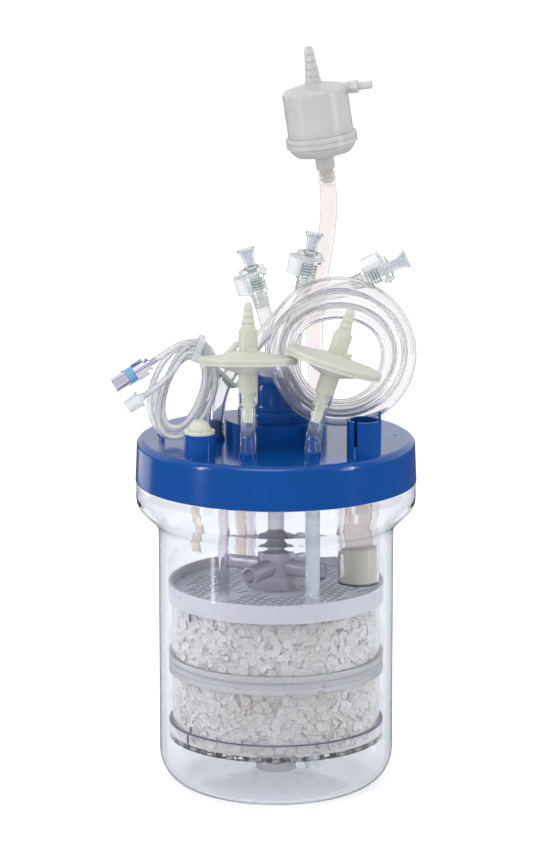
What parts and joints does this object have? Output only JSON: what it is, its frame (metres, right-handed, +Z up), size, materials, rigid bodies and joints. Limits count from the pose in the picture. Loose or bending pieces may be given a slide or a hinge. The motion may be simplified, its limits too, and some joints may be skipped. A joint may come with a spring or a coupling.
{
  "type": "bench bioreactor",
  "caption": "Clear packed-bed culture vessel with a glossy blue lid, magnet-driven impeller, vent filters, dip tubes, coiled tubing and slide-together sterile couplings.",
  "frame": {"origin": "centre of the vessel's underside, on the bench", "axes": "+Z up along the impeller shaft, -Y to the front where the sample lines hang, +X to the right seen from the front"},
  "size_m": [0.2254, 0.209, 0.5515],
  "materials": {
    "clear_shell": "clear polished plastic shell",
    "lid_blue": "glossy moulded plastic",
    "plug_clear": "clear moulded plastic",
    "bearing_white": "plain bearing plastic",
    "carrier_dark": "matt moulded plastic",
    "magnet_steel": "plated magnets",
    "impeller_grey": "smoky translucent plastic",
    "basket_cream": "pale moulded plastic",
    "bed_white": "loose fibre disks",
    "tube_clear": "clear rigid tube",
    "well_clear": "clear moulded well",
    "cartridge_white": "pale moulded plastic",
    "hose_clear": "clear flexible hose",
    "hose_pink": "translucent flexible hose",
    "hose_pale": "translucent thin hose",
    "coil_clear": "clear flexible hose in a coil",
    "coil_pale": "translucent thin hose in a coil",
    "capsule_cream": "translucent moulded plastic",
    "pleat_white": "pleated filter medium",
    "filter_cream": "pale moulded plastic",
    "membrane_white": "filter sheet",
    "connector_clear": "clear moulded plastic",
    "latch_grey": "translucent moulded plastic",
    "tie_white": "moulded plastic strap",
    "luer_clear": "clear moulded plastic",
    "ring_blue": "glossy moulded plastic",
    "cap_white": "translucent moulded plastic",
    "clamp_white": "springy moulded plastic strip"
  },
  "bodies": {
    "vessel_assembly": {"vessel": "clear_shell", "lid": "lid_blue", "drive_housing": "lid_blue", "shaft_bearing": "bearing_white", "basket_screen": "basket_cream", "basket_upper_wall": "basket_cream", "basket_mid_ring": "basket_cream", "basket_lower_cup": "basket_cream", "basket_core": "basket_cream", "upper_bed": "bed_white", "lower_bed": "bed_white", "sparge_tube": "tube_clear", "level_tube": "tube_clear", "outer_feed_tube": "tube_clear", "rear_feed_tube": "tube_clear", "return_tube": "tube_clear", "sensor_well": "well_clear", "sensor_cartridge": "cartridge_white", "left_vent_hose": "hose_clear", "left_vent_base": "filter_cream", "left_vent_membrane": "membrane_white", "left_vent_cap": "filter_cream", "right_vent_hose": "hose_clear", "right_vent_base": "filter_cream", "right_vent_membrane": "membrane_white", "right_vent_cap": "filter_cream", "capsule_hose": "hose_pink", "capsule_base": "capsule_cream", "capsule_shell": "capsule_cream", "capsule_core": "pleat_white", "left_hose": "hose_clear", "middle_hose": "hose_clear", "line_hose": "hose_clear", "line_end_hose": "hose_clear", "left_connector_body": "connector_clear", "middle_connector_body": "connector_clear", "right_connector_body": "connector_clear", "line_coil": "coil_clear", "small_coil": "coil_pale", "cable_tie": "tie_white", "valve_lead": "hose_pale", "cap_lead": "hose_pale", "luer_valve": "luer_clear", "luer_ring": "ring_blue", "luer_cap": "cap_white", "pinch_clamp": "clamp_white", "sample_risers": "hose_pale"},
    "impeller": {"impeller_shaft": "impeller_grey", "impeller_upper": "impeller_grey", "impeller_lower": "impeller_grey", "magnet_carrier": "carrier_dark", "drive_magnets": "magnet_steel"},
    "left_plug": {"left_connector_plug": "plug_clear"},
    "middle_plug": {"middle_connector_plug": "plug_clear"},
    "right_plug": {"right_connector_plug": "plug_clear"},
    "left_latch": {"left_connector_latch": "latch_grey"},
    "middle_latch": {"middle_connector_latch": "latch_grey"},
    "right_latch": {"right_connector_latch": "latch_grey"},
    "port_plug": {"port_plug": "plug_clear"},
    "capsule_vent": {"capsule_vent": "capsule_cream"}
  },
  "joints": [
    {"name": "left_plug_slide", "type": "slide", "parent": "vessel_assembly", "child": "left_plug", "axis": [-0.2837, 0, 0.9589], "range_m": [0, 0.02]},
    {"name": "left_latch_press", "type": "slide", "parent": "vessel_assembly", "child": "left_latch", "axis": [0.6992, 0.6844, 0.2068], "range_m": [0, 0.0013], "stiffness_N_per_m": 400},
    {"name": "middle_plug_slide", "type": "slide", "parent": "vessel_assembly", "child": "middle_plug", "axis": [0.2038, 0, 0.979], "range_m": [0, 0.02]},
    {"name": "middle_latch_press", "type": "slide", "parent": "vessel_assembly", "child": "middle_latch", "axis": [0.7581, 0.6328, -0.1578], "range_m": [0, 0.0013], "stiffness_N_per_m": 400},
    {"name": "right_plug_slide", "type": "slide", "parent": "vessel_assembly", "child": "right_plug", "axis": [0.8995, 0, 0.437], "range_m": [0, 0.02]},
    {"name": "right_latch_press", "type": "slide", "parent": "vessel_assembly", "child": "right_latch", "axis": [0.3452, 0.6132, -0.7105], "range_m": [0, 0.0013], "stiffness_N_per_m": 400},
    {"name": "impeller_spin", "type": "hinge", "parent": "vessel_assembly", "child": "impeller", "pos_m": [0, 0, 0.15], "axis": [0, 0, 1], "continuous": true},
    {"name": "port_plug_lift", "type": "slide", "parent": "vessel_assembly", "child": "port_plug", "axis": [0, 0, 1], "range_m": [0, 0.03]},
    {"name": "capsule_vent_turn", "type": "hinge", "parent": "vessel_assembly", "child": "capsule_vent", "pos_m": [0.02857, 0.034, 0.51799], "axis": [0.9783, -0.1499, 0.1433], "range_deg": [0, 180]}
  ]
}
